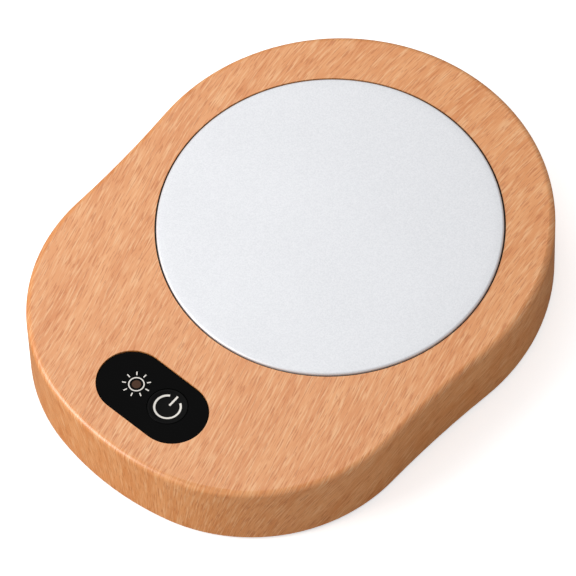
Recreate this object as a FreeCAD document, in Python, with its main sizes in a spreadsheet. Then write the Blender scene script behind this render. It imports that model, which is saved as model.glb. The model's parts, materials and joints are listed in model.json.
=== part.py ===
import FreeCAD, Part
import math
import os

import Sketcher
from FreeCAD import Placement, Rotation, Vector

# Electric mug warmer: a shallow moulded case with a beech-grain surface, a round
# aluminium heating plate, and a black control panel with a dished push button.
# Frame: millimetres, +Z up, origin on the table under the middle of the case.
# -Y is the user's side with the panel, +Y is the rear with the supply socket.

# Driving dimensions in millimetres: alias, value, what it is.
DIMENSIONS = [
    ("half_length", 73.0, "half of the case's length along Y"),
    ("rear_radius", 56.2, "rear end of the outline, around the heating plate"),
    ("rear_centre_y", 16.8, "centre of the rear end"),
    ("corner_radius", 47.5, "rounded corners of the panel end"),
    ("corner_x", 7.3, "centre of a panel-end corner, out from the middle"),
    ("end_radius", 79.0, "shallow arc across the panel end"),
    ("waist_radius", 300.0, "hollow arc along each long side"),
    ("case_base", 0.8, "lower edge of the case above the table"),
    ("case_top", 22.8, "top face of the case above the table"),
    ("draft_inset", 0.5, "how far the lower edge stands inside the upper one"),
    ("edge_round", 1.6, "rounding of the upper edge"),
    ("foot_round", 0.5, "rounding of the lower edge"),
    ("wall", 2.4, "side wall thickness"),
    ("deck", 2.4, "top wall thickness"),
    ("rebate_inset", 1.3, "side wall left outside the base cover"),
    ("cover_face", 1.0, "underside of the base cover above the table"),
    ("cover_thick", 2.0, "base cover thickness"),
    ("cover_gap", 0.15, "clearance round the base cover"),
    ("plate_y", 13.7, "centre of the heating plate"),
    ("plate_radius", 45.0, "heating plate"),
    ("plate_thick", 2.0, "rim of the heating plate"),
    ("plate_proud", 0.5, "heating plate above the case's top face"),
    ("plate_round", 0.6, "rounding of the plate's upper edge"),
    ("plate_gap", 0.45, "gap between the plate and the case"),
    ("spigot_radius", 42.2, "boss under the plate"),
    ("spigot_depth", 1.5, "boss under the plate"),
    ("gasket_thick", 0.8, "silicone ring under the plate's rim"),
    ("gasket_lip", 1.0, "silicone lip in the gap round the plate's edge"),
    ("ledge_radius", 42.8, "inner edge of the ledge that carries the plate"),
    ("ledge_thick", 1.2, "ledge thickness"),
    ("ledge_outer", 48.4, "outer edge of the thickened ring round the opening"),
    ("heater_radius", 38.0, "foil heater"),
    ("heater_thick", 0.8, "foil heater"),
    ("felt_radius", 39.0, "insulation pad"),
    ("felt_thick", 2.0, "insulation pad"),
    ("clamp_radius", 41.0, "steel clamp plate"),
    ("clamp_thick", 0.8, "steel clamp plate"),
    ("clamp_circle", 46.6, "circle of the clamp screws"),
    ("clamp_boss", 2.6, "radius of a clamp screw boss"),
    ("clamp_pilot", 0.85, "pilot hole of a clamp screw"),
    ("sensor_bore", 3.0, "hole for the thermistor through felt and clamp"),
    ("fuse_slot_x", 20.0, "window for the thermal fuse"),
    ("fuse_slot_y", 8.0, "window for the thermal fuse"),
    ("fuse_offset", 14.0, "thermal fuse, forward of the plate's centre"),
    ("panel_y", -54.8, "centre of the control panel"),
    ("panel_half", 7.0, "half of the straight part of the panel"),
    ("panel_radius", 9.35, "rounded ends of the panel"),
    ("panel_thick", 1.3, "control panel"),
    ("panel_sunk", 0.3, "panel below the case's top face"),
    ("panel_gap", 0.12, "clearance round the panel"),
    ("tape_thick", 0.1, "adhesive ring under the panel"),
    ("tape_width", 1.2, "adhesive ring under the panel"),
    ("well_drop", 1.6, "thickening under the panel pocket"),
    ("well_rim", 1.8, "how far that thickening reaches past the panel"),
    ("button_x", 4.7, "centre of the power button"),
    ("button_y", -54.2, "centre of the power button"),
    ("button_radius", 5.3, "power button's cap"),
    ("button_gap", 0.12, "clearance round the button"),
    ("button_travel", 0.5, "stroke of the button"),
    ("button_dish", 0.45, "depth of the finger dish"),
    ("flange_radius", 6.5, "flange that keeps the button in"),
    ("flange_thick", 0.8, "flange that keeps the button in"),
    ("flange_play", 0.1, "air over and under the flange"),
    ("stem_radius", 1.6, "button's stem"),
    ("stem_bore", 2.1, "hole for the stem"),
    ("lamp_x", -5.8, "centre of the indicator lamp"),
    ("lamp_y", -54.5, "centre of the indicator lamp"),
    ("lamp_radius", 1.2, "light guide"),
    ("lamp_fit", 0.05, "clearance round the light guide"),
    ("lamp_collar", 1.9, "collar of the light guide"),
    ("collar_thick", 1.0, "collar of the light guide"),
    ("board_top", 10.5, "upper face of the control board"),
    ("board_thick", 1.6, "circuit boards"),
    ("board_half_x", 25.0, "half of the control board's width"),
    ("board_half_y", 9.5, "half of the control board's depth"),
    ("board_y", -54.0, "centre of the control board"),
    ("board_corner", 2.0, "corner rounding of the boards"),
    ("board_boss", 2.5, "radius of a board screw boss"),
    ("board_pilot", 0.85, "pilot hole of a board screw"),
    ("board_hole", 1.3, "screw hole in a board"),
    ("board_boss_x", 21.6, "board screws, out from the middle"),
    ("switch_side", 6.0, "tactile switch"),
    ("switch_tall", 3.5, "tactile switch"),
    ("plunger_radius", 1.75, "switch plunger"),
    ("plunger_fit", 0.05, "clearance round the plunger"),
    ("plunger_up", 1.0, "switch plunger above its case"),
    ("cover_boss", 3.0, "radius of a cover screw boss"),
    ("cover_pilot", 1.2, "pilot hole of a cover screw"),
    ("cover_hole", 1.7, "screw hole in the base cover"),
    ("cover_sink", 3.2, "counterbore for a cover screw's head"),
    ("sink_depth", 1.2, "counterbore for a cover screw's head"),
    ("screw_rear_x", 35.0, "rear cover screws"),
    ("screw_rear_y", 49.0, "rear cover screws"),
    ("screw_front_x", 36.0, "front cover screws"),
    ("screw_front_y", -40.0, "front cover screws"),
    ("foot_radius", 6.0, "silicone foot"),
    ("foot_thick", 1.8, "silicone foot"),
    ("foot_sink", 0.8, "recess for a foot"),
    ("foot_rear_x", 35.0, "rear feet, out from the middle"),
    ("foot_rear_y", 34.0, "rear feet"),
    ("foot_front_x", 26.0, "front feet, out from the middle"),
    ("foot_front_y", -57.0, "front feet"),
    ("socket_wide", 8.94, "supply socket's shell"),
    ("socket_tall", 3.26, "supply socket's shell"),
    ("socket_deep", 7.3, "supply socket's shell"),
    ("socket_wall", 0.25, "supply socket's shell"),
    ("socket_z", 8.4, "middle of the supply socket"),
    ("socket_face", 71.2, "mouth of the supply socket"),
    ("socket_fit", 0.1, "clearance round the socket's shell"),
    ("plug_wide", 12.6, "recess for the plug's body"),
    ("plug_tall", 7.2, "recess for the plug's body"),
    ("plug_floor", 71.3, "bottom of the recess for the plug's body"),
    ("block_back", 68.5, "inner face of the block round the socket"),
    ("block_half", 9.0, "half width of the block round the socket"),
    ("block_low", 4.4, "lower face of the block round the socket"),
    ("block_high", 13.0, "upper face of the block round the socket"),
    ("tongue_wide", 6.7, "contact tongue"),
    ("tongue_tall", 0.7, "contact tongue"),
    ("tongue_long", 4.4, "contact tongue"),
    ("rear_board_half_x", 11.0, "half of the supply board's width"),
    ("rear_board_front", 57.0, "inner edge of the supply board"),
    ("rear_board_back", 68.2, "outer edge of the supply board"),
    ("rear_boss_x", 8.2, "supply board screws, out from the middle"),
    ("rear_boss_y", 64.6, "supply board screws"),
    ("lead_radius", 0.65, "insulated lead"),
    ("lead_pitch", 2.0, "lead entries of a connector"),
    ("plug_row", -45.9, "rear face of the board's connectors"),
    ("heater_plug_x", 9.0, "heater connector"),
    ("sensor_plug_x", 1.0, "sensor connector"),
    ("supply_plug_x", -7.0, "supply connector"),
]

CLAMP_ANGLES = (30.0, 150.0, 270.0)
FEET = {
    "foot_front_left": (-1, "foot_front"),
    "foot_front_right": (1, "foot_front"),
    "foot_rear_left": (-1, "foot_rear"),
    "foot_rear_right": (1, "foot_rear"),
}
RING_CONTACTS = 12

doc = FreeCAD.newDocument("mug_warmer")
nodes = []


class Size:
    """A length that carries its number and the sheet formula that gives it."""

    def __init__(self, number, formula=None):
        self.number = number
        self.formula = repr(float(number)) if formula is None else formula

    def join(self, other, sign, number):
        return Size(number, f"({self.formula} {sign} {other.formula})")

    def __add__(self, other):
        other = as_size(other)
        return self.join(other, "+", self.number + other.number)

    def __sub__(self, other):
        other = as_size(other)
        return self.join(other, "-", self.number - other.number)

    def __mul__(self, other):
        other = as_size(other)
        return self.join(other, "*", self.number * other.number)

    def __neg__(self):
        return Size(-self.number, f"(-{self.formula})")


def as_size(value):
    return value if isinstance(value, Size) else Size(value)


class Sheet:
    """The spreadsheet of driving dimensions; each alias reads as a Size."""

    def __init__(self):
        self.cells = doc.addObject("Spreadsheet::Sheet", "Sizes")
        self.sizes = {}
        for row, (alias, number, note) in enumerate(DIMENSIONS, start=1):
            self.cells.set(f"A{row}", note)
            self.cells.set(f"B{row}", str(number))
            self.cells.setAlias(f"B{row}", alias)
            self.sizes[alias] = Size(number, f"Sizes.{alias}")
        doc.recompute()

    def __getattr__(self, alias):
        return self.sizes[alias]


s = Sheet()

# Heights worked out from the driving dimensions.
plate_top = s.case_top + s.plate_proud
rim_base = plate_top - s.plate_thick
gasket_base = rim_base - s.gasket_thick
ledge_base = gasket_base - s.ledge_thick
spigot_base = rim_base - s.spigot_depth
heater_base = spigot_base - s.heater_thick
felt_base = heater_base - s.felt_thick
clamp_base = felt_base - s.clamp_thick
deck_base = s.case_top - s.deck
cover_top = s.cover_face + s.cover_thick
opening_radius = s.plate_radius + s.plate_gap
panel_top = s.case_top - s.panel_sunk
panel_base = panel_top - s.panel_thick
pocket_floor = panel_base - s.tape_thick
well_base = deck_base - s.well_drop
flange_top = pocket_floor - s.flange_play
flange_base = flange_top - s.flange_thick
flange_floor = flange_base - s.button_travel - s.flange_play
board_base = s.board_top - s.board_thick
switch_top = s.board_top + s.switch_tall
plunger_top = switch_top + s.plunger_up
rear_board_top = s.socket_z - s.socket_tall * 0.5
rear_board_base = rear_board_top - s.board_thick
lead_z = s.board_top + 2.4
lead_entry = as_size(2.0)


# Sketches, bodies and features.


def node(item, label):
    """Marks an object as a sub-part and gives it its name."""
    item.Label = label
    nodes.append(item)
    return item


def bind(item, name, size):
    """Ties a property to the sheet."""
    item.setExpression(name, as_size(size).formula)


def body(label):
    return node(doc.addObject("PartDesign::Body", label), label)


def plane(part, role):
    return [item for item in part.Origin.OriginFeatures if item.Role == role][0]


def sketch(part, name, height, role="XY_Plane"):
    """An empty sketch on one of the body's own planes, moved along its normal."""
    made = part.newObject("Sketcher::SketchObject", name)
    made.AttachmentSupport = (plane(part, role), [""])
    made.MapMode = "FlatFace"
    bind(made, "AttachmentOffset.Base.z", height)
    return made


def fix(made, kind, places, size):
    """Adds a constraint whose value comes from the sheet."""
    size = as_size(size)
    index = made.addConstraint(Sketcher.Constraint(kind, *places, size.number))
    made.setExpression(f"Constraints[{index}]", size.formula)


def fix_point(made, place, x, y):
    """Fixes a point of the sketch by its two distances from the origin."""
    x, y = as_size(x), as_size(y)
    for size, kind, axis in ((x, "DistanceX", -2), (y, "DistanceY", -1)):
        if size.number == 0:
            made.addConstraint(Sketcher.Constraint("PointOnObject", *place, axis))
        else:
            fix(made, kind, (-1, 1, *place), size)


def circle(made, x, y, radius):
    x, y, radius = as_size(x), as_size(y), as_size(radius)
    centre = Vector(x.number, y.number, 0)
    shape = Part.Circle(centre, Vector(0, 0, 1), radius.number)
    index = made.addGeometry(shape, False)
    fix(made, "Radius", (index,), radius)
    fix_point(made, (index, 3), x, y)


def rectangle(made, x0, y0, x1, y1):
    """A rectangle from its low corner to its high corner."""
    x0, y0, x1, y1 = (as_size(v) for v in (x0, y0, x1, y1))
    corners = [(x0, y0), (x1, y0), (x1, y1), (x0, y1)]
    points = [Vector(x.number, y.number, 0) for x, y in corners]
    edges = [
        made.addGeometry(Part.LineSegment(points[i], points[(i + 1) % 4]), False)
        for i in range(4)
    ]
    for i in range(4):
        made.addConstraint(Sketcher.Constraint("Coincident", edges[i], 2, edges[(i + 1) % 4], 1))
        kind = "Horizontal" if i % 2 == 0 else "Vertical"
        made.addConstraint(Sketcher.Constraint(kind, edges[i]))
    fix_point(made, (edges[0], 1), x0, y0)
    fix_point(made, (edges[2], 1), x1, y1)


def stadium(made, x, y, half, radius):
    """Two half circles joined by straight sides, long way along X."""
    x, y, half, radius = (as_size(v) for v in (x, y, half, radius))
    centres = [Vector((x + half).number, y.number, 0), Vector((x - half).number, y.number, 0)]
    up = Vector(0, radius.number, 0)
    normal = Vector(0, 0, 1)
    quarter = math.pi / 2
    right = Part.ArcOfCircle(Part.Circle(centres[0], normal, radius.number), -quarter, quarter)
    left = Part.ArcOfCircle(Part.Circle(centres[1], normal, radius.number), quarter, 3 * quarter)
    ring = [
        made.addGeometry(right, False),
        made.addGeometry(Part.LineSegment(centres[0] + up, centres[1] + up), False),
        made.addGeometry(left, False),
        made.addGeometry(Part.LineSegment(centres[1] - up, centres[0] - up), False),
    ]
    for first, second in zip(ring, ring[1:] + ring[:1]):
        made.addConstraint(Sketcher.Constraint("Tangent", first, 2, second, 1))
    fix(made, "Radius", (ring[0],), radius)
    fix_point(made, (ring[0], 3), x + half, y)
    fix_point(made, (ring[2], 3), x - half, y)


def outward(start, end):
    """Angle of the line from one centre to another."""
    return math.atan2(end.y - start.y, end.x - start.x)


def outline_centres():
    """Centres of the outline's arcs on the +X side, from their tangency."""
    rear = Vector(0, s.rear_centre_y.number, 0)
    end = Vector(0, s.end_radius.number - s.half_length.number, 0)
    reach = s.end_radius.number - s.corner_radius.number
    x = s.corner_x.number
    corner = Vector(x, end.y - math.sqrt(reach**2 - x**2), 0)
    from_rear = s.rear_radius.number + s.waist_radius.number
    from_corner = s.corner_radius.number + s.waist_radius.number
    between = corner - rear
    along = (from_rear**2 - from_corner**2 + between.Length**2) / (2 * between.Length)
    aside = math.sqrt(from_rear**2 - along**2)
    unit = between * (1 / between.Length)
    waist = rear + unit * along + Vector(-unit.y, unit.x, 0) * aside
    return rear, end, corner, waist


def outline(made, inset):
    """The case's plan outline, moved inwards by an inset: six tangent arcs."""
    inset = as_size(inset)
    rear, end, corner, waist = outline_centres()
    mirror_corner, mirror_waist = (Vector(-c.x, c.y, 0) for c in (corner, waist))
    turn = 2 * math.pi
    at_rear, at_end = outward(rear, waist), outward(end, corner)
    at_corner = outward(corner, waist)
    waist_low, waist_high = outward(waist, corner) % turn, outward(waist, rear) % turn
    half = math.pi
    plan = [
        (end, s.end_radius - inset, -half - at_end, at_end, True),
        (corner, s.corner_radius - inset, at_end, at_corner, True),
        (waist, s.waist_radius + inset, waist_high, waist_low, False),
        (rear, s.rear_radius - inset, at_rear, half - at_rear, True),
        (mirror_waist, s.waist_radius + inset, half - waist_low, half - waist_high, False),
        (mirror_corner, s.corner_radius - inset, half - at_corner, half - at_end, True),
    ]
    ring = []
    for centre, radius, start, stop, turns_left in plan:
        base = Part.Circle(centre, Vector(0, 0, 1), radius.number)
        index = made.addGeometry(Part.ArcOfCircle(base, start % turn, stop % turn), False)
        ring.append((index, 1 if turns_left else 2, 2 if turns_left else 1))
        fix(made, "Radius", (index,), radius)
    for (first, _, leave), (second, enter, _) in zip(ring, ring[1:] + ring[:1]):
        made.addConstraint(Sketcher.Constraint("Tangent", first, leave, second, enter))
    end_arc, corner_arc, _, rear_arc, _, mirror_arc = (arc[0] for arc in ring)
    fix_point(made, (end_arc, 3), 0, s.end_radius - s.half_length)
    fix_point(made, (rear_arc, 3), 0, s.rear_centre_y)
    fix(made, "DistanceX", (-1, 1, corner_arc, 3), s.corner_x)
    fix(made, "DistanceX", (-1, 1, mirror_arc, 3), -s.corner_x)


def pad(part, profile, name, length, down=False):
    made = part.newObject("PartDesign::Pad", name)
    made.Profile = profile
    made.Reversed = down
    bind(made, "Length", length)
    profile.Visibility = False
    doc.recompute()
    return made


def pocket(part, profile, name, depth, up=False):
    """Cuts downwards from the sketch, or upwards."""
    before = part.Shape.Volume
    made = part.newObject("PartDesign::Pocket", name)
    made.Profile = profile
    made.Reversed = up
    bind(made, "Length", depth)
    doc.recompute()
    if part.Shape.Volume >= before - 1e-6:
        raise RuntimeError(f"{name} cuts nothing")
    return made


def edges_at(shape, height, smallest=0.0):
    """Names of the edges that lie at one height and reach out far enough."""
    found = []
    for index, edge in enumerate(shape.Edges, start=1):
        box = edge.BoundBox
        if abs(box.ZMin - height) < 1e-3 and abs(box.ZMax - height) < 1e-3:
            ends = [edge.valueAt(p) for p in (edge.FirstParameter, edge.LastParameter)]
            if min(math.hypot(p.x, p.y) for p in ends) >= smallest:
                found.append(f"Edge{index}")
    return found


def round_edges(part, name, height, radius, smallest=0.0, kind="Fillet"):
    """Rounds or chamfers the body's edges at one height."""
    tip = part.Tip
    chosen = edges_at(tip.Shape, as_size(height).number, smallest)
    made = part.newObject(f"PartDesign::{kind}", name)
    made.Base = (tip, chosen)
    bind(made, "Radius" if kind == "Fillet" else "Size", radius)
    doc.recompute()
    return made


# Primitives for small pieces.


def place(item, x=0.0, y=0.0, z=0.0):
    for axis, size in zip("xyz", (x, y, z)):
        bind(item, f"Placement.Base.{axis}", size)
    return item


def block(name, x, y, z, wide, deep, tall):
    """A box centred on x and y, standing on z."""
    wide, deep = as_size(wide), as_size(deep)
    made = doc.addObject("Part::Box", name)
    for prop, size in (("Length", wide), ("Width", deep), ("Height", tall)):
        bind(made, prop, size)
    return place(made, as_size(x) - wide * 0.5, as_size(y) - deep * 0.5, z)


def rod(name, x, y, z, radius, tall):
    made = doc.addObject("Part::Cylinder", name)
    bind(made, "Radius", radius)
    bind(made, "Height", tall)
    return place(made, x, y, z)


def cut(name, base, *tools):
    """The base less its tools."""
    tool = tools[0] if len(tools) == 1 else join(f"{name}_tools", *tools)
    made = doc.addObject("Part::Cut", name)
    made.Base = base
    made.Tool = tool
    return made


def join(name, *shapes):
    """Shapes that touch, as one solid."""
    made = doc.addObject("Part::MultiFuse", name)
    made.Shapes = list(shapes)
    made.Refine = True
    return made


def group(label, pieces):
    """Separate solids under one name."""
    made = doc.addObject("Part::Compound", label)
    made.Links = pieces
    return node(made, label)


def screw(name, x, y, head_base, head_radius, head_tall, shank_radius, shank_long):
    """A pan-head screw pointing up, with a cross recess in its head."""
    head = rod(f"{name}_head", x, y, head_base, head_radius, head_tall)
    shank = rod(f"{name}_shank", x, y, head_base + head_tall, shank_radius, shank_long)
    arm, width = as_size(head_radius) * 1.1, as_size(head_radius) * 0.28
    depth = as_size(head_tall) * 0.55
    slots = [
        block(f"{name}_slot_a", x, y, head_base, arm, width, depth),
        block(f"{name}_slot_b", x, y, head_base, width, arm, depth),
    ]
    return cut(name, join(f"{name}_solid", head, shank), *slots)


# Places that several pieces share.


def cover_screw_places():
    rear = [(s.screw_rear_x * sign, s.screw_rear_y) for sign in (-1, 1)]
    front = [(s.screw_front_x * sign, s.screw_front_y) for sign in (-1, 1)]
    return rear + front


def foot_place(label):
    sign, row = FEET[label]
    return getattr(s, f"{row}_x") * sign, getattr(s, f"{row}_y")


def clamp_screw_places():
    found = []
    for angle in CLAMP_ANGLES:
        turn = math.radians(angle)
        x = s.clamp_circle * round(math.cos(turn), 6)
        found.append((x, s.plate_y + s.clamp_circle * round(math.sin(turn), 6)))
    return found


def board_screw_places():
    return [(s.board_boss_x * sign, s.board_y) for sign in (-1, 1)]


def rear_board_screw_places():
    return [(s.rear_boss_x * sign, s.rear_boss_y) for sign in (-1, 1)]


# Case and cover.


def top_case():
    """Moulded shell with the plate opening, the panel pocket and all bosses."""
    part = body("top_case")
    base = sketch(part, "case_outline", s.case_base)
    outline(base, s.draft_inset)
    shell = pad(part, base, "case_block", s.case_top - s.case_base)
    tall = s.case_top.number - s.case_base.number
    shell.TaperAngle = math.degrees(math.atan(s.draft_inset.number / tall))
    doc.recompute()
    round_edges(part, "case_edge_round", s.case_top, s.edge_round)
    round_edges(part, "case_foot_round", s.case_base, s.foot_round)

    cavity = sketch(part, "cavity_outline", s.case_base)
    outline(cavity, s.wall)
    pocket(part, cavity, "cavity", deck_base - s.case_base, up=True)
    rebate = sketch(part, "rebate_outline", s.case_base)
    outline(rebate, s.rebate_inset)
    pocket(part, rebate, "rebate", cover_top - s.case_base, up=True)

    socket_block = sketch(part, "socket_block", s.block_low)
    rectangle(socket_block, -s.block_half, s.block_back, s.block_half, s.plug_floor)
    pad(part, socket_block, "socket_block_wall", s.block_high - s.block_low)
    plug_seat = sketch(part, "plug_seat", -s.plug_floor, "XZ_Plane")
    corner = s.plug_tall * 0.5
    stadium(plug_seat, 0, s.socket_z, s.plug_wide * 0.5 - corner, corner)
    pocket(part, plug_seat, "plug_recess", 4.0, up=False)
    mouth = sketch(part, "socket_mouth", -s.plug_floor, "XZ_Plane")
    half_tall = s.socket_tall * 0.5
    straight = s.socket_wide * 0.5 - half_tall
    stadium(mouth, 0, s.socket_z, straight, half_tall + s.socket_fit)
    pocket(part, mouth, "socket_tunnel", s.plug_floor - s.block_back, up=True)

    ring = sketch(part, "ledge_ring", ledge_base)
    circle(ring, 0, s.plate_y, s.ledge_outer)
    pad(part, ring, "ledge_block", deck_base - ledge_base)
    opening = sketch(part, "plate_opening", s.case_top)
    circle(opening, 0, s.plate_y, opening_radius)
    pocket(part, opening, "plate_seat", s.case_top - gasket_base)
    throat = sketch(part, "ledge_throat", s.case_top)
    circle(throat, 0, s.plate_y, s.ledge_radius)
    pocket(part, throat, "ledge_hole", s.case_top - ledge_base)

    well = sketch(part, "panel_well", well_base)
    stadium(well, 0, s.panel_y, s.panel_half, s.panel_radius + s.well_rim)
    pad(part, well, "panel_well_block", s.well_drop)
    seat = sketch(part, "panel_seat", s.case_top)
    stadium(seat, 0, s.panel_y, s.panel_half, s.panel_radius + s.panel_gap)
    pocket(part, seat, "panel_pocket", s.case_top - pocket_floor)
    button_sink = sketch(part, "button_sink", s.case_top)
    circle(button_sink, s.button_x, s.button_y, s.flange_radius + s.button_gap)
    pocket(part, button_sink, "button_room", s.case_top - flange_floor)
    bores = sketch(part, "panel_bores", s.case_top)
    circle(bores, s.button_x, s.button_y, s.stem_bore)
    circle(bores, s.lamp_x, s.lamp_y, s.lamp_radius + s.lamp_fit)
    pocket(part, bores, "panel_through_bores", s.case_top - well_base)

    cover_bosses = sketch(part, "cover_bosses", cover_top)
    for x, y in cover_screw_places():
        circle(cover_bosses, x, y, s.cover_boss)
    pad(part, cover_bosses, "cover_boss_posts", deck_base - cover_top)
    clamp_bosses = sketch(part, "clamp_bosses", felt_base)
    for x, y in clamp_screw_places():
        circle(clamp_bosses, x, y, s.clamp_boss)
    pad(part, clamp_bosses, "clamp_boss_posts", ledge_base - felt_base)
    board_bosses = sketch(part, "board_bosses", s.board_top)
    for x, y in board_screw_places():
        circle(board_bosses, x, y, s.board_boss)
    pad(part, board_bosses, "board_boss_posts", deck_base - s.board_top)
    rear_bosses = sketch(part, "rear_board_bosses", rear_board_top)
    for x, y in rear_board_screw_places():
        circle(rear_bosses, x, y, s.board_boss)
    pad(part, rear_bosses, "rear_board_boss_posts", deck_base - rear_board_top)

    for name, places, low, radius, depth in (
        ("rear_board_pilots", rear_board_screw_places(), rear_board_top, s.board_pilot, 6.0),
        ("cover_pilots", cover_screw_places(), cover_top, s.cover_pilot, 9.0),
        ("clamp_pilots", clamp_screw_places(), felt_base, s.clamp_pilot, 3.4),
        ("board_pilots", board_screw_places(), s.board_top, s.board_pilot, 6.0),
    ):
        holes = sketch(part, name, low)
        for x, y in places:
            circle(holes, x, y, radius)
        pocket(part, holes, f"{name}_holes", depth, up=True)


def base_cover():
    """Flat cover let into the underside, with screw and foot recesses."""
    part = body("base_cover")
    base = sketch(part, "cover_outline", s.cover_face)
    outline(base, s.rebate_inset + s.cover_gap)
    pad(part, base, "cover_plate", s.cover_thick)
    round_edges(part, "cover_edge", s.cover_face, 0.3, kind="Chamfer")
    holes = sketch(part, "cover_holes", s.cover_face)
    sinks = sketch(part, "cover_sinks", s.cover_face)
    for x, y in cover_screw_places():
        circle(holes, x, y, s.cover_hole)
        circle(sinks, x, y, s.cover_sink)
    pocket(part, holes, "cover_screw_holes", s.cover_thick, up=True)
    pocket(part, sinks, "cover_screw_sinks", s.sink_depth, up=True)
    seats = sketch(part, "foot_seats", s.cover_face)
    for label in FEET:
        circle(seats, *foot_place(label), s.foot_radius + 0.1)
    pocket(part, seats, "foot_recesses", s.foot_sink, up=True)
    ribs = sketch(part, "cover_ribs", cover_top)
    rectangle(ribs, -26.0, -20.75, 26.0, -19.25)
    rectangle(ribs, -26.0, 45.25, 26.0, 46.75)
    pad(part, ribs, "cover_stiffeners", 2.0)


def feet():
    for label in FEET:
        part = body(label)
        base = sketch(part, f"{label}_disc", 0)
        circle(base, *foot_place(label), s.foot_radius)
        pad(part, base, f"{label}_pad", s.foot_thick)
        round_edges(part, f"{label}_edge", 0, 0.3)


def cover_screws():
    head_base = s.cover_face + 0.1
    pieces = [
        screw(f"cover_screw_{i}", x, y, head_base, 2.8, 1.1, 1.15, 8.0)
        for i, (x, y) in enumerate(cover_screw_places(), start=1)
    ]
    group("cover_screws", pieces)


# Heating stack, from the plate down.


def heating_plate():
    part = body("heating_plate")
    rim = sketch(part, "plate_rim", rim_base)
    circle(rim, 0, s.plate_y, s.plate_radius)
    pad(part, rim, "plate_disc", s.plate_thick)
    round_edges(part, "plate_edge_round", plate_top, s.plate_round)
    spigot = sketch(part, "plate_spigot", rim_base)
    circle(spigot, 0, s.plate_y, s.spigot_radius)
    pad(part, spigot, "plate_boss", s.spigot_depth, down=True)


def plate_gasket():
    """Silicone ring with an upright lip, seen as the dark line round the plate."""
    part = body("plate_gasket")
    ring = sketch(part, "gasket_ring", gasket_base)
    circle(ring, 0, s.plate_y, opening_radius)
    pad(part, ring, "gasket_body", s.gasket_thick + s.gasket_lip)
    seat = sketch(part, "gasket_seat", rim_base + s.gasket_lip)
    circle(seat, 0, s.plate_y, s.plate_radius)
    pocket(part, seat, "gasket_plate_seat", s.gasket_lip)
    hole = sketch(part, "gasket_hole", rim_base)
    circle(hole, 0, s.plate_y, s.ledge_radius)
    pocket(part, hole, "gasket_through", s.gasket_thick)


def heater_element():
    part = body("heater_element")
    disc = sketch(part, "heater_disc", heater_base)
    circle(disc, 0, s.plate_y, s.heater_radius)
    pad(part, disc, "heater_foil", s.heater_thick)


def windowed_disc(label, radius, base, thick):
    """A disc under the heater, open for the thermistor and the thermal fuse."""
    part = body(label)
    disc = sketch(part, f"{label}_disc", base)
    circle(disc, 0, s.plate_y, radius)
    pad(part, disc, f"{label}_body", thick)
    windows = sketch(part, f"{label}_windows", base)
    circle(windows, 0, s.plate_y, s.sensor_bore)
    near = s.plate_y - s.fuse_offset
    half_x, half_y = s.fuse_slot_x * 0.5, s.fuse_slot_y * 0.5
    rectangle(windows, -half_x, near - half_y, half_x, near + half_y)
    pocket(part, windows, f"{label}_openings", thick, up=True)
    return part


def clamp_plate():
    """Pressed steel plate whose three ears are screwed to the case's bosses."""
    part = windowed_disc("clamp_plate", s.clamp_radius, clamp_base, s.clamp_thick)
    ears = sketch(part, "clamp_ears", clamp_base)
    for x, y in clamp_screw_places():
        circle(ears, x, y, s.clamp_boss)
    necks = [(x, y, angle) for (x, y), angle in zip(clamp_screw_places(), CLAMP_ANGLES)]
    pad(part, ears, "clamp_ear_pads", s.clamp_thick)
    for index, (x, y, angle) in enumerate(necks):
        neck = sketch(part, f"clamp_neck_{index}", clamp_base)
        neck.AttachmentOffset = Placement(
            Vector(0, s.plate_y.number, clamp_base.number), Rotation(angle, 0, 0)
        )
        bind(neck, "AttachmentOffset.Base.y", s.plate_y)
        rectangle(neck, s.clamp_radius - 3.0, -s.clamp_boss, s.clamp_circle, s.clamp_boss)
        pad(part, neck, f"clamp_neck_pad_{index}", s.clamp_thick)
    holes = sketch(part, "clamp_holes", clamp_base)
    for x, y in clamp_screw_places():
        circle(holes, x, y, 1.2)
    pocket(part, holes, "clamp_screw_holes", s.clamp_thick, up=True)


def clamp_screws():
    head = 1.2
    pieces = [
        screw(f"clamp_screw_{i}", x, y, clamp_base - head, 2.1, head, 0.8, 4.0)
        for i, (x, y) in enumerate(clamp_screw_places(), start=1)
    ]
    group("clamp_screws", pieces)


def thermistor():
    """Glass-bead sensor in a ceramic sleeve, pressed against the heater."""
    tall = 3.4
    sleeve = rod("thermistor_sleeve", 0, s.plate_y, heater_base - tall, 1.9, tall)
    collar = rod("thermistor_collar", 0, s.plate_y, heater_base - tall, 2.5, 1.0)
    node(join("thermistor", sleeve, collar), "thermistor")


def thermal_fuse():
    """Cylindrical fuse that lies in the window, touching the heater."""
    radius, long = 1.9, 10.0
    y, z = s.plate_y - s.fuse_offset, heater_base - radius
    barrel = doc.addObject("Part::Cylinder", "fuse_barrel")
    bind(barrel, "Radius", radius)
    bind(barrel, "Height", long)
    barrel.Placement = Placement(Vector(), Rotation(Vector(0, 1, 0), 90))
    place(barrel, -long / 2, y, z)
    node(barrel, "thermal_fuse")


# Control panel, button and lamp.


def control_panel():
    part = body("control_panel")
    face = sketch(part, "panel_face", panel_base)
    stadium(face, 0, s.panel_y, s.panel_half, s.panel_radius)
    pad(part, face, "panel_plate", s.panel_thick)
    round_edges(part, "panel_edge", panel_top, 0.25)
    holes = sketch(part, "panel_holes", panel_top)
    circle(holes, s.button_x, s.button_y, s.button_radius + s.button_gap)
    circle(holes, s.lamp_x, s.lamp_y, s.lamp_radius + s.lamp_fit)
    pocket(part, holes, "panel_openings", s.panel_thick)


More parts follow.
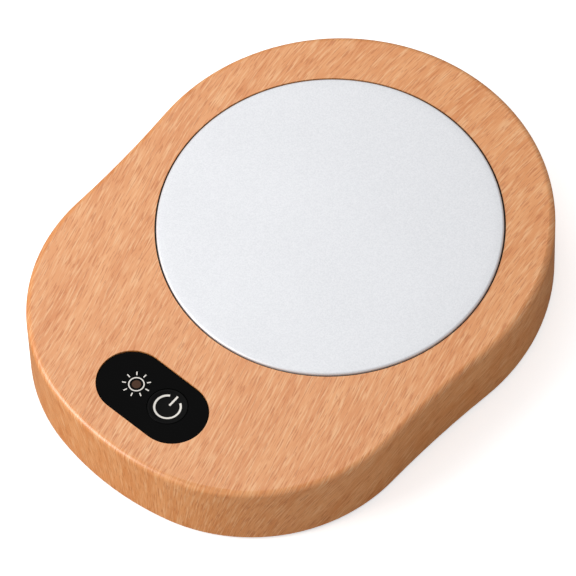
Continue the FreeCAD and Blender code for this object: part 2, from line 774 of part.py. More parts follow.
def panel_adhesive():
    """Thin double-sided tape that follows the panel's rim."""
    part = body("panel_adhesive")
    ring = sketch(part, "tape_ring", pocket_floor)
    stadium(ring, 0, s.panel_y, s.panel_half, s.panel_radius)
    pad(part, ring, "tape_body", s.tape_thick)
    inside = sketch(part, "tape_inside", pocket_floor)
    stadium(inside, 0, s.panel_y, s.panel_half, s.panel_radius - s.tape_width)
    pocket(part, inside, "tape_hole", s.tape_thick, up=True)


def power_button():
    """Cap with a finger dish, a flange under the panel and a stem to the switch."""
    part = body("power_button")
    cap = sketch(part, "button_cap", flange_top)
    circle(cap, s.button_x, s.button_y, s.button_radius)
    pad(part, cap, "button_cap_body", panel_top - flange_top)
    round_edges(part, "button_rim_round", panel_top, 0.2)
    flange = sketch(part, "button_flange", flange_base)
    circle(flange, s.button_x, s.button_y, s.flange_radius)
    pad(part, flange, "button_flange_body", s.flange_thick)
    stem = sketch(part, "button_stem", plunger_top)
    circle(stem, s.button_x, s.button_y, s.stem_radius)
    pad(part, stem, "button_stem_body", flange_base - plunger_top)
    depth, mouth = s.button_dish.number, s.button_radius.number - 0.5
    ball = (mouth**2 + depth**2) / (2 * depth)
    profile = sketch(part, "dish_profile", -s.button_y, "XZ_Plane")
    centre_z = panel_top + (ball - depth)
    low = Vector(s.button_x.number, centre_z.number - ball, 0)
    high = Vector(s.button_x.number, centre_z.number, 0)
    side = Vector(s.button_x.number + ball, centre_z.number, 0)
    arc = Part.ArcOfCircle(
        Part.Circle(high, Vector(0, 0, 1), ball), 1.5 * math.pi, 2 * math.pi
    )
    bow = profile.addGeometry(arc, False)
    lid = profile.addGeometry(Part.LineSegment(side, high), False)
    axis = profile.addGeometry(Part.LineSegment(high, low), False)
    for first, place_a, second, place_b in ((bow, 2, lid, 1), (lid, 2, axis, 1), (axis, 2, bow, 1)):
        profile.addConstraint(Sketcher.Constraint("Coincident", first, place_a, second, place_b))
    profile.addConstraint(Sketcher.Constraint("Coincident", bow, 3, lid, 2))
    profile.addConstraint(Sketcher.Constraint("Horizontal", lid))
    profile.addConstraint(Sketcher.Constraint("Vertical", axis))
    fix(profile, "Radius", (bow,), ball)
    fix_point(profile, (bow, 3), s.button_x, centre_z)
    before = part.Shape.Volume
    groove = part.newObject("PartDesign::Groove", "finger_dish")
    groove.Profile = profile
    groove.ReferenceAxis = (profile, [f"Edge{axis + 1}"])
    groove.Angle = 360
    doc.recompute()
    if part.Shape.Volume >= before:
        raise RuntimeError("the finger dish cuts nothing")


def indicator_lens():
    """Light guide from the lamp on the board to the middle of the sun mark."""
    part = body("indicator_lens")
    low = s.board_top + 1.4
    guide = sketch(part, "guide_rod", low)
    circle(guide, s.lamp_x, s.lamp_y, s.lamp_radius)
    pad(part, guide, "guide_body", panel_top - low)
    collar = sketch(part, "guide_collar", well_base)
    circle(collar, s.lamp_x, s.lamp_y, s.lamp_collar)
    pad(part, collar, "guide_collar_body", s.collar_thick, down=True)


# Control board and what it carries.


def rounded_board(label, x0, y0, x1, y1, low, holes):
    part = body(label)
    base = sketch(part, f"{label}_outline", low)
    rectangle(base, x0, y0, x1, y1)
    made = pad(part, base, f"{label}_plate", s.board_thick)
    upright = []
    for index, edge in enumerate(made.Shape.Edges, start=1):
        box = edge.BoundBox
        if box.ZLength > s.board_thick.number * 0.9:
            upright.append(f"Edge{index}")
    rounding = part.newObject("PartDesign::Fillet", f"{label}_corners")
    rounding.Base = (made, upright)
    bind(rounding, "Radius", s.board_corner)
    doc.recompute()
    drilled = sketch(part, f"{label}_drilling", low)
    for x, y in holes:
        circle(drilled, x, y, s.board_hole)
    pocket(part, drilled, f"{label}_holes", s.board_thick, up=True)


def control_board():
    low_y, high_y = s.board_y - s.board_half_y, s.board_y + s.board_half_y
    rounded_board(
        "control_board", -s.board_half_x, low_y, s.board_half_x, high_y, board_base,
        board_screw_places(),
    )


def board_screws():
    head = 1.1
    pieces = [
        screw(f"board_screw_{i}", x, y, board_base - head, 2.0, head, 0.8, 6.0)
        for i, (x, y) in enumerate(board_screw_places(), start=1)
    ]
    group("board_screws", pieces)


def tactile_switch():
    """Switch case with its snap dome, plunger and four legs."""
    x, y, side = s.button_x, s.button_y, s.switch_side
    shell = block("switch_shell", x, y, s.board_top, side, side, s.switch_tall)
    room = rod("switch_room", x, y, s.board_top + 0.8, 2.3, 1.9)
    bore = rod("switch_bore", x, y, s.board_top + 0.8, s.plunger_radius + s.plunger_fit, 5.0)
    node(cut("switch_case", shell, room, bore), "switch_case")

    foot = s.board_top + 0.8 + s.button_travel + 0.45
    shaft = rod("plunger_shaft", x, y, foot, s.plunger_radius, plunger_top - foot)
    shoulder = rod("plunger_shoulder", x, y, foot, 2.1, 0.5)
    node(join("switch_plunger", shaft, shoulder), "switch_plunger")

    rise = foot - (s.board_top + 0.8)
    dome = doc.addObject("Part::Feature", "switch_dome")
    rim, height, skin = 2.1, rise.number, 0.12
    ball = (rim**2 + height**2) / (2 * height)
    low = s.board_top.number + 0.8
    centre = Vector(x.number, y.number, low + height - ball)
    outer = Part.makeSphere(ball, centre)
    inner = Part.makeSphere(ball - skin, centre)
    slab = Part.makeCylinder(rim, height, Vector(x.number, y.number, low))
    dome.Shape = outer.cut(inner).common(slab)
    node(dome, "switch_dome")

    legs = []
    for i, (sx, sy) in enumerate(((-1, -1), (1, -1), (1, 1), (-1, 1))):
        leg_x, leg_y = x + (side * 0.5 + 0.35) * sx, y + 2.25 * sy
        legs.append(block(f"switch_leg_{i}", leg_x, leg_y, s.board_top, 0.7, 0.8, 1.2))
    group("switch_legs", legs)


def indicator_lamp():
    x, y = s.lamp_x, s.lamp_y
    base = block("lamp_base", x, y, s.board_top, 3.0, 1.6, 0.5)
    top = block("lamp_window", x, y, s.board_top + 0.5, 2.0, 1.4, 0.6)
    node(join("indicator_lamp", base, top), "indicator_lamp")


def controller_chip():
    x, y = as_size(-14.4), s.board_y - 3.2
    case = block("chip_case", x, y, s.board_top + 0.2, 8.6, 3.9, 1.4)
    legs = []
    for i in range(7):
        for sign in (-1, 1):
            leg_x, leg_y = x + (i - 3) * 1.27, y + 2.5 * sign
            name = f"chip_leg_{i}_{sign + 1}"
            legs.append(block(name, leg_x, leg_y, s.board_top, 0.4, 1.2, 0.6))
    node(join("controller_chip", case, *legs), "controller_chip")


def power_transistor():
    x, y = as_size(14.0), s.board_y - 4.4
    case = block("transistor_case", x, y, s.board_top, 6.5, 6.1, 2.3)
    tab = block("transistor_tab", x, y + 3.6, s.board_top, 5.2, 1.2, 0.5)
    node(join("power_transistor", case, tab), "power_transistor")


def filter_capacitor():
    x, y = as_size(-14.0), s.board_y + 5.0
    base = block("capacitor_base", x, y, s.board_top, 5.3, 5.3, 0.6)
    can = rod("capacitor_can", x, y, s.board_top + 0.6, 2.5, 4.8)
    node(join("filter_capacitor", base, can), "filter_capacitor")


def board_resistors():
    pieces = [
        block(f"resistor_{i}", -4.5 + 2.4 * i, s.board_y - 7.6, s.board_top, 1.25, 2.0, 0.5)
        for i in range(6)
    ]
    group("board_resistors", pieces)


def connector(label, x, ways):
    """A wire housing on the board, its entries open towards the rear."""
    wide, deep, tall = s.lead_pitch * ways + 1.9, 5.0, 4.4
    housing = block(f"{label}_housing", x, s.plug_row - deep / 2, s.board_top, wide, deep, tall)
    entries = []
    for i in range(ways):
        entry = rod(f"{label}_entry_{i}", 0, 0, 0, s.lead_radius + 0.1, lead_entry)
        entry.Placement = Placement(Vector(), Rotation(Vector(1, 0, 0), 90))
        entry_x = s.lead_pitch * (i - (ways - 1) / 2) + x
        entries.append(place(entry, entry_x, s.plug_row, lead_z))
    node(cut(label, housing, *entries), label)


def connectors():
    connector("heater_connector", s.heater_plug_x, 2)
    connector("sensor_connector", s.sensor_plug_x, 2)
    connector("supply_connector", s.supply_plug_x, 2)


# Supply socket and its board at the rear.


def supply_board():
    rounded_board(
        "supply_board", -s.rear_board_half_x, s.rear_board_front, s.rear_board_half_x,
        s.rear_board_back, rear_board_base, rear_board_screw_places(),
    )


def supply_board_screws():
    head = 1.1
    pieces = [
        screw(f"supply_screw_{i}", x, y, rear_board_base - head, 2.0, head, 0.8, 6.0)
        for i, (x, y) in enumerate(rear_board_screw_places(), start=1)
    ]
    group("supply_board_screws", pieces)


def socket_shell():
    """Drawn steel sleeve of the supply socket."""
    part = body("socket_shell")
    half = s.socket_tall * 0.5
    straight = s.socket_wide * 0.5 - half
    face = sketch(part, "shell_face", -s.socket_face, "XZ_Plane")
    stadium(face, 0, s.socket_z, straight, half)
    pad(part, face, "shell_body", s.socket_deep)
    room = sketch(part, "shell_room", -s.socket_face, "XZ_Plane")
    stadium(room, 0, s.socket_z, straight, half - s.socket_wall)
    pocket(part, room, "shell_hollow", s.socket_deep, up=True)


def socket_tongue():
    """Moulded insert: a block that closes the shell, and the tongue."""
    deep = s.socket_deep - 6.2
    low = s.socket_z - s.tongue_tall * 0.5
    back = s.socket_face - s.socket_deep
    part = body("socket_tongue")
    half = s.socket_tall * 0.5
    straight = s.socket_wide * 0.5 - half
    face = sketch(part, "tongue_back", -back, "XZ_Plane")
    stadium(face, 0, s.socket_z, straight, half - s.socket_wall)
    pad(part, face, "tongue_block", deep, down=True)
    blade = sketch(part, "tongue_blade", low)
    half_blade = s.tongue_wide * 0.5
    rectangle(blade, -half_blade, back + deep * 0.5, half_blade, back + deep + s.tongue_long)
    pad(part, blade, "tongue_blade_body", s.tongue_tall)


def socket_contacts():
    """Two rows of contact strips on the tongue."""
    front = s.socket_face - 6.2 + s.tongue_long
    pieces = []
    for i in range(RING_CONTACTS):
        x = (i - (RING_CONTACTS - 1) / 2) * 0.5
        for name, z in (
            ("upper", s.socket_z + s.tongue_tall * 0.5),
            ("lower", s.socket_z - s.tongue_tall * 0.5 - 0.08),
        ):
            strip = block(f"contact_{name}_{i}", x, front - 2.0, z, 0.26, 3.2, 0.08)
            pieces.append(strip)
    group("socket_contacts", pieces)


# Leads between the boards and the heating stack.


def lead_path(points):
    """Straight runs joined by tangent arcs as large as the runs allow."""
    share = 0.45
    edges, start = [], points[0]
    for before, corner, after in zip(points, points[1:], points[2:]):
        back, ahead = before - corner, after - corner
        turn = math.pi - back.getAngle(ahead)
        reach = share * min(back.Length, ahead.Length)
        radius = reach / math.tan(turn / 2)
        back.normalize()
        ahead.normalize()
        first, last = corner + back * reach, corner + ahead * reach
        middle_way = back + ahead
        middle_way.normalize()
        depth = radius / math.cos(turn / 2) - radius
        edges.append(Part.LineSegment(start, first).toShape())
        edges.append(Part.Arc(first, corner + middle_way * depth, last).toShape())
        start = last
    edges.append(Part.LineSegment(start, points[-1]).toShape())
    return Part.Wire(edges)


def lead(points):
    """One insulated lead along its route; its volume is compared with its length."""
    radius = s.lead_radius.number
    route = [Vector(*(as_size(v).number for v in point)) for point in points]
    path = lead_path(route)
    direction = route[1] - route[0]
    ring = Part.Wire([Part.Circle(route[0], direction, radius).toShape()])
    solid = path.makePipeShell([ring], True, False)
    expected = math.pi * radius**2 * path.Length
    if abs(solid.Volume - expected) > 0.03 * expected:
        raise RuntimeError("a lead's volume does not match its length")
    return solid


def lead_pair(label, routes):
    made = doc.addObject("Part::Feature", label)
    made.Shape = Part.makeCompound([lead(points) for points in routes])
    node(made, label)


def leads():
    """Heater, sensor and supply leads, from connector to end."""
    start = s.plug_row - lead_entry
    plain = s.plug_row + 9.0
    fuse_y, fuse_z = s.plate_y - s.fuse_offset, heater_base - 1.9
    run = clamp_base - 4.5
    heater_x = [s.heater_plug_x + side for side in (-1.0, 1.0)]
    far_y = fuse_y + 2.9
    lead_pair(
        "heater_leads",
        [
            [(heater_x[1], start, lead_z), (heater_x[1], plain, lead_z),
             (8.0, fuse_y - 10.0, run), (8.0, fuse_y, run), (8.0, fuse_y, fuse_z),
             (5.0, fuse_y, fuse_z)],
            [(heater_x[0], start, lead_z), (heater_x[0], plain, lead_z - 1.0),
             (5.0, far_y - 12.0, run - 1.0), (5.0, far_y, run - 1.0), (5.0, far_y, heater_base)],
            [(-5.0, fuse_y, fuse_z), (-6.9, fuse_y, fuse_z), (-6.9, fuse_y, heater_base)],
        ],
    )
    bead = heater_base - 3.4
    lead_pair(
        "sensor_leads",
        [
            [(s.sensor_plug_x + side, start, lead_z), (s.sensor_plug_x + side, plain, lead_z),
             (side * 0.9, -16.0, run - 3.0), (side * 0.9, s.plate_y - 8.0, run - 3.0),
             (side * 0.9, s.plate_y, run - 2.0), (side * 0.9, s.plate_y, bead)]
            for side in (-1.0, 1.0)
        ],
    )
    pads_y = s.rear_board_front + 1.8
    lead_pair(
        "supply_leads",
        [
            [(s.supply_plug_x + side, start, lead_z), (s.supply_plug_x + side, plain, lead_z),
             (side - 19.0, -20.0, run - 1.0), (side - 19.0, 24.0, run - 1.0),
             (side, pads_y - 10.0, run - 1.0), (side, pads_y, run - 1.0),
             (side, pads_y, rear_board_top)]
            for side in (-1.0, 1.0)
        ],
    )


def check_and_export():
    """Stops on any failed object or invalid shape, then writes each node."""
    doc.recompute()
    for item in doc.Objects:
        if "Invalid" in item.State or "Error" in item.State:
            raise RuntimeError(f"{item.Label} failed: {item.State}")
    os.makedirs("parts", exist_ok=True)
    for old in os.listdir("parts"):
        os.remove(os.path.join("parts", old))
    for item in nodes:
        shape = item.Shape
        if shape.isNull() or not shape.isValid() or not shape.Solids:
            raise RuntimeError(f"{item.Label} has no valid solid")
        shape.exportStep(os.path.join("parts", f"{item.Label}.step"))
    print(f"{len(nodes)} nodes, {sum(len(n.Shape.Solids) for n in nodes)} solids")


for make in (
    top_case, base_cover, feet, cover_screws,
    heating_plate, plate_gasket, heater_element,
):
    make()
windowed_disc("insulation_pad", s.felt_radius, felt_base, s.felt_thick)
for make in (
    clamp_plate, clamp_screws, thermistor, thermal_fuse,
    control_panel, panel_adhesive, power_button, indicator_lens,
    control_board, board_screws, tactile_switch, indicator_lamp,
    controller_chip, power_transistor, filter_capacitor, board_resistors, connectors,
    supply_board, supply_board_screws, socket_shell, socket_tongue, socket_contacts,
    leads,
):
    make()
check_and_export()
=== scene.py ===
"""Electric mug warmer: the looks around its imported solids, one class for each sub-assembly."""

import json
import logging
import math
from dataclasses import dataclass, field
from enum import Enum
from typing import Any

import bmesh
import bpy
import numpy as np
from mathutils import Matrix, Vector

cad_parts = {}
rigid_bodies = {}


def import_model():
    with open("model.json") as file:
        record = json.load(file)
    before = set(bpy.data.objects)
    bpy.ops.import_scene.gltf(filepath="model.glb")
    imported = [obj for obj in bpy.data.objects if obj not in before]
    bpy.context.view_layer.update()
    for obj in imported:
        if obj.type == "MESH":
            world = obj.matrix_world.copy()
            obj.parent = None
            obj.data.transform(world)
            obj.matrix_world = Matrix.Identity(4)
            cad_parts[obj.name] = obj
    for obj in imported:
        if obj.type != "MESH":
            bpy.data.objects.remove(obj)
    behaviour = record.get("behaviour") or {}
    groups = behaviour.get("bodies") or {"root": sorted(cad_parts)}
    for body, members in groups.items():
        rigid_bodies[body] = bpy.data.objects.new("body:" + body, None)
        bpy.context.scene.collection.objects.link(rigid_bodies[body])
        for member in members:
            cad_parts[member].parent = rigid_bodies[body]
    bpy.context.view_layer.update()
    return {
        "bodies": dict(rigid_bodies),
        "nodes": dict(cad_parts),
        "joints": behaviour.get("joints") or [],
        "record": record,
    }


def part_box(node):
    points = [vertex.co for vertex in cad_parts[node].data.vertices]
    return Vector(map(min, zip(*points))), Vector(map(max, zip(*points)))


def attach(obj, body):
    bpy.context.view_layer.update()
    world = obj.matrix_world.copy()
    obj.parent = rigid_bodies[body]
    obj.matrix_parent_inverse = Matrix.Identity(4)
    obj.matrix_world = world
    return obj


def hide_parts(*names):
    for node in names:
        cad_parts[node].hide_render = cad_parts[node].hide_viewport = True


LOG = logging.getLogger("mug_warmer")
MM = 0.001
FILM = "film"
SMOOTH_ANGLE = math.radians(32.0)


class Body(Enum):
    """The rigid bodies that a piece can ride on."""

    HOUSING = "housing"
    BUTTON = "button"


def linear(colour: str) -> tuple[float, float, float, float]:
    """Turns an sRGB hex colour to linear light.

    Args:
        colour: Six hex digits, such as "E3AD80".

    Returns:
        Red, green, blue and an alpha of 1.
    """
    channels = [int(colour[i : i + 2], 16) / 255.0 for i in (0, 2, 4)]
    low = [c / 12.92 if c <= 0.04045 else ((c + 0.055) / 1.055) ** 2.4 for c in channels]
    return (low[0], low[1], low[2], 1.0)


def add_node(
    tree: bpy.types.NodeTree,
    kind: str,
    sockets: dict[int | str, Any] | None = None,
    **settings: Any,
) -> bpy.types.Node:
    """Adds one node with its settings, constants and links.

    Args:
        tree: The node tree that takes it.
        kind: The node's type, without the "ShaderNode" in front.
        sockets: Input name or number to a constant, or to the output that feeds it.
        **settings: Properties of the node itself.

    Returns:
        The new node.
    """
    node = tree.nodes.new(f"ShaderNode{kind}")
    for name, value in settings.items():
        setattr(node, name, value)
    for key, value in (sockets or {}).items():
        if isinstance(value, bpy.types.NodeSocket):
            tree.links.new(value, node.inputs[key])
        else:
            node.inputs[key].default_value = value
    return node


def new_material(name: str) -> tuple[bpy.types.Material, bpy.types.NodeTree]:
    """Makes an empty node material.

    Args:
        name: The material's own name.

    Returns:
        The material and its tree.
    """
    material = bpy.data.materials.new(name)
    material.use_nodes = True
    material.node_tree.nodes.clear()
    return material, material.node_tree


def finish_surface(
    tree: bpy.types.NodeTree, sockets: dict[int | str, Any]
) -> bpy.types.Node:
    """Adds the Principled shader and the output.

    Args:
        tree: The material's tree.
        sockets: Constants and links for the shader.

    Returns:
        The Principled node.
    """
    shader = add_node(tree, "BsdfPrincipled", sockets)
    add_node(tree, "OutputMaterial", {"Surface": shader.outputs[0]})
    return shader


def stretched(
    tree: bpy.types.NodeTree, vector: bpy.types.NodeSocket, wide: float, long: float
) -> bpy.types.NodeSocket:
    """Scales a flat coordinate so that one unit of noise is wide by long.

    Args:
        tree: The material's tree.
        vector: The coordinate, in millimetres.
        wide: Size of a grain across, in millimetres.
        long: Size of a grain along, in millimetres.

    Returns:
        The scaled coordinate.
    """
    scale = (1.0 / wide, 1.0 / long, 1.0)
    return add_node(tree, "Mapping", {"Vector": vector, "Scale": scale}).outputs[0]


@dataclass(frozen=True)
class BeechFilm:
    """Beech-grain film over a moulded shell, with about twice the sheen of plain lacquer.

    Fine dark pores lie along the grain, on a warm ground that drifts slowly between
    pale and tan. The grain leans less towards the rear, and runs on down the walls with no
    end grain: across = x + y (lean + y (curve + twist y)).
    """

    name: str = "beech_grain_film"
    ground: str = "E49B5D"
    shade: str = "D68441"
    pore: str = "BE6A2A"
    fibre: str = "EEB680"
    lean: float = 0.29
    curve_per_mm: float = -0.00103
    twist_per_mm2: float = -0.000013
    pore_wide_mm: float = 0.36
    pore_long_mm: float = 4.5
    fibre_wide_mm: float = 0.5
    fibre_long_mm: float = 7.0
    figure_wide_mm: float = 6.0
    figure_long_mm: float = 45.0
    wander_wide_mm: float = 18.0
    wander_long_mm: float = 45.0
    wander_mm: float = 1.4
    fibre_strength: float = 0.75
    pore_strength: float = 0.62
    roughness: float = 0.37
    pore_roughness: float = 0.12
    pore_depth_mm: float = 0.05
    specular: float = 1.0

    def material(self) -> bpy.types.Material:
        """Builds the film from its leaning coordinates and three sizes of grain.

        Returns:
            The material.
        """
        made, tree = new_material(self.name)
        film = add_node(tree, "Attribute", attribute_name=FILM).outputs["Vector"]
        split = add_node(tree, "SeparateXYZ", {0: film})
        along = split.outputs[1]
        across = self.twist_per_mm2
        for term in (self.curve_per_mm, self.lean, split.outputs[0]):
            across = add_node(
                tree, "Math", {0: along, 1: across, 2: term}, operation="MULTIPLY_ADD"
            ).outputs[0]
        grain = add_node(tree, "CombineXYZ", {0: across, 1: along}).outputs[0]

        slow = stretched(tree, grain, self.wander_wide_mm, self.wander_long_mm)
        wander = add_node(
            tree, "TexNoise", {"Vector": slow, "Scale": 1.0, "Detail": 1.0}
        ).outputs["Color"]
        bend = add_node(
            tree,
            "VectorMath",
            {0: wander, 1: (self.wander_mm, 0.0, 0.0), 2: grain},
            operation="MULTIPLY_ADD",
        ).outputs[0]

        figure = add_node(
            tree,
            "TexNoise",
            {
                "Vector": stretched(tree, bend, self.figure_wide_mm, self.figure_long_mm),
                "Scale": 1.0,
                "Detail": 3.0,
                "Roughness": 0.6,
            },
        ).outputs["Fac"]
        tone = add_node(
            tree, "MapRange", {"Value": figure, "From Min": 0.34, "From Max": 0.68}
        ).outputs[0]
        base = add_node(
            tree,
            "Mix",
            {0: tone, 6: linear(self.ground), 7: linear(self.shade)},
            data_type="RGBA",
        ).outputs[2]

        fibre = add_node(
            tree,
            "TexNoise",
            {
                "Vector": stretched(tree, bend, self.fibre_wide_mm, self.fibre_long_mm),
                "Scale": 1.0,
                "Detail": 2.0,
            },
        ).outputs["Fac"]
        fine = add_node(
            tree,
            "MapRange",
            {"Value": fibre, "From Min": 0.48, "From Max": 0.66, "To Max": self.fibre_strength},
        ).outputs[0]
        fibred = add_node(
            tree, "Mix", {0: fine, 6: base, 7: linear(self.fibre)}, data_type="RGBA"
        ).outputs[2]

        pores = add_node(
            tree,
            "TexNoise",
            {
                "Vector": stretched(tree, bend, self.pore_wide_mm, self.pore_long_mm),
                "Scale": 1.0,
                "Detail": 2.5,
                "Roughness": 0.5,
            },
        ).outputs["Fac"]
        dark = add_node(
            tree,
            "MapRange",
            {"Value": pores, "From Min": 0.565, "From Max": 0.6, "To Max": self.pore_strength},
        ).outputs[0]
        colour = add_node(
            tree, "Mix", {0: dark, 6: fibred, 7: linear(self.pore)}, data_type="RGBA"
        ).outputs[2]

        rough = add_node(
            tree,
            "MapRange",
            {
                "Value": dark,
                "To Min": self.roughness,
                "To Max": self.roughness + self.pore_roughness,
            },
        ).outputs[0]
        relief = add_node(
            tree,
            "Bump",
            {"Height": dark, "Strength": 0.18, "Distance": self.pore_depth_mm * MM},
            invert=True,
        ).outputs[0]
        finish_surface(
            tree,
            {
                "Base Color": colour,
                "Roughness": rough,
                "IOR": 1.5,
                "Specular IOR Level": self.specular,
                "Normal": relief,
            },
        )
        return made


@dataclass(frozen=True)
class BlastedAluminium:
    """Aluminium plate, fine blasted and anodised clear: even, pale and matte, with a faint grit."""

    name: str = "blasted_anodised_aluminium"
    colour: str = "EDEEF1"
    grit_mm: float = 0.35
    cloud_mm: float = 22.0
    roughness: float = 0.52
    metallic: float = 0.55

    def material(self) -> bpy.types.Material:
        """Builds the grit, drawn about three times as coarse as real so that it shows.

        Returns:
            The material.
        """
        made, tree = new_material(self.name)
        place = add_node(tree, "TexCoord").outputs["Object"]
        grit = add_node(
            tree, "TexNoise", {"Vector": place, "Scale": 1.0 / (self.grit_mm * MM), "Detail": 2.0}
        ).outputs["Fac"]
        cloud = add_node(
            tree, "TexNoise", {"Vector": place, "Scale": 1.0 / (self.cloud_mm * MM), "Detail": 1.0}
        ).outputs["Fac"]
        rough = add_node(
            tree,
            "MapRange",
            {"Value": cloud, "To Min": self.roughness - 0.04, "To Max": self.roughness + 0.04},
        ).outputs[0]
        value = add_node(
            tree, "MapRange", {"Value": grit, "From Min": 0.3, "From Max": 0.7, "To Min": 0.6}
        ).outputs[0]
        tint = add_node(
            tree, "Mix", {0: value, 6: linear("CFD1D6"), 7: linear(self.colour)}, data_type="RGBA"
        ).outputs[2]
        relief = add_node(
            tree, "Bump", {"Height": grit, "Strength": 0.25, "Distance": 0.02 * MM}
        ).outputs[0]
        finish_surface(
            tree,
            {"Base Color": tint, "Metallic": self.metallic, "Roughness": rough, "Normal": relief},
        )
        return made


@dataclass(frozen=True)
class PlainFinish:
    """A single-material surface with a fine moulded, woven or plated grain of its own."""

    name: str
    colour: str
    roughness: float
    metallic: float = 0.0
    ior: float = 1.5
    grain_mm: float = 0.4
    relief: float = 0.15
    drift: float = 0.12
    specular: float = 0.5

    def material(self) -> bpy.types.Material:
        """Builds a slight drift of tone and a grain of the stated size.

        Returns:
            The material.
        """
        made, tree = new_material(self.name)
        place = add_node(tree, "TexCoord").outputs["Object"]
        grain = add_node(
            tree, "TexNoise", {"Vector": place, "Scale": 1.0 / (self.grain_mm * MM), "Detail": 2.0}
        ).outputs["Fac"]
        ground = linear(self.colour)
        darker = tuple(c * (1.0 - self.drift) for c in ground[:3]) + (1.0,)
        tint = add_node(tree, "Mix", {0: grain, 6: ground, 7: darker}, data_type="RGBA").outputs[2]
        rough = add_node(
            tree,
            "MapRange",
            {
                "Value": grain,
                "To Min": max(0.02, self.roughness - 0.05),
                "To Max": self.roughness + 0.05,
            },
        ).outputs[0]
        relief = add_node(
            tree, "Bump", {"Height": grain, "Strength": self.relief, "Distance": 0.02 * MM}
        ).outputs[0]
        sockets = {"Base Color": tint, "Metallic": self.metallic, "Roughness": rough}
        if not self.metallic:
            sockets["IOR"] = self.ior
            sockets["Specular IOR Level"] = self.specular
        finish_surface(tree, {**sockets, "Normal": relief})
        return made


# Gloss ABS, injection moulded in a polished mould. Its reflections are held far below those of
# the real plastic, so that the panel stays as dark as in the picture.
GLOSS_BLACK = PlainFinish(
    "gloss_black_abs", "060606", 0.16, ior=1.53, grain_mm=6.0, relief=0.0, specular=0.02
)
# The button's cap, in the same ABS from a duller mould, so that its dish shows.
BUTTON_BLACK = PlainFinish(
    "satin_black_abs", "060606", 0.3, ior=1.53, grain_mm=6.0, relief=0.0, specular=0.05
)
# Screen-printed ink, a warm white that isn't quite opaque.
PRINT_INK = PlainFinish("printed_white_ink", "E9E4DC", 0.45, grain_mm=0.3, relief=0.05)
# Silicone rubber, compression moulded: matte, with almost no highlight.
GASKET = PlainFinish("black_silicone", "141313", 0.7, ior=1.41, grain_mm=0.3)
FOOT = PlainFinish("grey_silicone", "2B2B2B", 0.75, ior=1.41, grain_mm=0.3)
# ABS cover with a spark-eroded mould texture: a fine, dull grain.
COVER = PlainFinish("textured_abs", "1F1E1D", 0.6, ior=1.53, grain_mm=0.5, relief=0.5)
# Smoked acrylic rod: dark brown until the lamp behind it is lit.
LENS = PlainFinish(
    "smoked_acrylic", "4E3526", 0.2, ior=1.49, grain_mm=2.0, relief=0.0, specular=0.08
)
# Steel, zinc plated: grey, lightly clouded.
ZINC = PlainFinish("zinc_plated_steel", "B9BABD", 0.34, metallic=1.0, grain_mm=1.0)
# Steel sheet, pressed: rolled surface.
SHEET = PlainFinish("pressed_sheet_steel", "B4B4B2", 0.4, metallic=1.0, grain_mm=1.5)
# Polyimide film over an etched track: amber, smooth.
FOIL = PlainFinish("polyimide_foil", "B06A1E", 0.35, ior=1.7, grain_mm=1.2)
# Needled fibre felt: white, soft and coarse.
FELT = PlainFinish("needled_felt", "E4E1D8", 0.95, grain_mm=0.6, relief=0.9)
# Fired ceramic: off-white, slightly rough.
CERAMIC = PlainFinish("fired_ceramic", "E6E0D2", 0.5, ior=1.6, grain_mm=0.5)
# Drawn aluminium can.
CAN = PlainFinish("drawn_aluminium", "C9CACC", 0.3, metallic=1.0, grain_mm=1.0)
# Glass-epoxy board under green solder mask: semi-gloss with a weave.
BOARD = PlainFinish("green_solder_mask", "0F5A32", 0.3, ior=1.55, grain_mm=0.8, relief=0.3)
# Epoxy moulding compound: dull black.
EPOXY = PlainFinish("black_epoxy", "1B1B1C", 0.5, ior=1.55, grain_mm=0.3)
# Nylon, injection moulded: milky white.
NYLON = PlainFinish("white_nylon", "E7E2D6", 0.45, ior=1.53, grain_mm=0.6)
# Gold flash on brass.
GOLD = PlainFinish("gold_flashed_brass", "D9B15C", 0.25, metallic=1.0, grain_mm=0.5)
# Tinned copper.
TIN = PlainFinish("tinned_copper", "C4C4C2", 0.3, metallic=1.0, grain_mm=0.5)
# PVC insulation: flexible, low sheen.
INSULATION = PlainFinish("black_pvc", "161616", 0.5, ior=1.54, grain_mm=0.5)
# Acrylic foam tape.
TAPE = PlainFinish("foam_tape", "C9C7C0", 0.9, grain_mm=0.4)


def mesh_object(
    name: str, points: np.ndarray, faces: np.ndarray, finish: bpy.types.Material
) -> bpy.types.Object:
    """Makes a smooth-shaded object at the origin from whole arrays.

    Args:
        name: The piece's name.
        points: Vertices in metres, one row each.
        faces: Vertex numbers, four to a row.
        finish: Its material.

    Returns:
        The object, linked to the scene.
    """
    mesh = bpy.data.meshes.new(name)
    mesh.from_pydata(points.tolist(), [], faces.tolist())
    mesh.update()
    mesh.shade_smooth()
    mesh.materials.append(finish)
    made = bpy.data.objects.new(name, mesh)
    bpy.context.scene.collection.objects.link(made)
    return made


def tidy_mesh(made: bpy.types.Object, angle: float = SMOOTH_ANGLE) -> None:
    """Merges doubles, turns the faces outwards and marks the sharp edges.

    Args:
        made: The piece.
        angle: Edges turning by more than this stay sharp, in radians.
    """
    work = bmesh.new()
    work.from_mesh(made.data)
    bmesh.ops.remove_doubles(work, verts=work.verts, dist=1e-6)
    bmesh.ops.recalc_face_normals(work, faces=work.faces)
    work.to_mesh(made.data)
    work.free()
    made.data.shade_smooth()
    made.data.set_sharp_from_angle(angle=angle)


